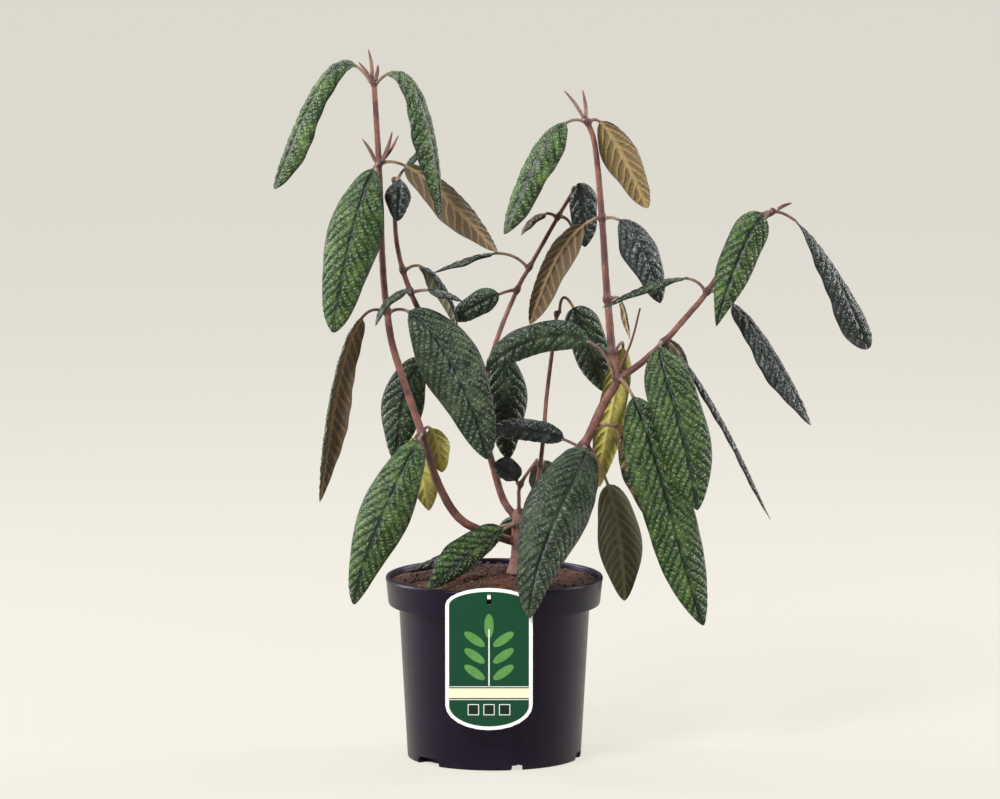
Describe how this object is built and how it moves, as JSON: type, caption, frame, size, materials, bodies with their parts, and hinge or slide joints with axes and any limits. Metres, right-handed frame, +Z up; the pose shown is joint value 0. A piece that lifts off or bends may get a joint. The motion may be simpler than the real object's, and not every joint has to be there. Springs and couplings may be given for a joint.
{
  "type": "potted leatherleaf viburnum",
  "caption": "Young evergreen shrub with long drooping wrinkled leaves on bare stems, growing in a round nursery pot with a hanging plant label.",
  "frame": {"origin": "middle of the pot's flat underside, which rests on the ground", "axes": "+Z up, -Y toward the labelled front, +X to the right seen from the front"},
  "size_m": [0.521, 0.2075, 0.6221],
  "materials": {
    "pot_plastic": "satin",
    "peat": "matte",
    "label_card": "satin",
    "strap_plastic": "satin",
    "bark": "matte",
    "leaf": "satin"
  },
  "bodies": {
    "root": {"pot": "pot_plastic", "soil": "peat", "label": "label_card", "label_strap": "strap_plastic", "trunk": "bark", "left_stem": "bark", "back_stem": "bark", "centre_stem": "bark", "right_stem": "bark", "right_branch": "bark", "thin_stem": "bark", "inner_twig": "bark", "dead_twig": "bark", "left_tip_spray": "leaf", "left_upper_pair": "leaf", "left_middle_pair": "leaf", "left_lower_spray": "leaf", "back_tip_spray": "leaf", "back_upper_leaf": "leaf", "back_middle_pair": "leaf", "back_lower_pair": "leaf", "centre_lower_leaf": "leaf", "centre_middle_leaf": "leaf", "centre_upper_leaf": "leaf", "centre_tip_spray": "leaf", "centre_high_pair": "leaf", "right_tip_spray": "leaf", "right_upper_pair": "leaf", "right_middle_leaf": "leaf", "fork_spray": "leaf", "fork_back_leaf": "leaf", "right_lower_spray": "leaf", "right_inner_leaf": "leaf", "branch_lower_spray": "leaf", "branch_middle_pair": "leaf", "branch_tip_spray": "leaf", "thin_tip_leaf": "leaf", "thin_lower_leaf": "leaf", "inner_leaf": "leaf", "trunk_leaves": "leaf"}
  },
  "joints": []
}
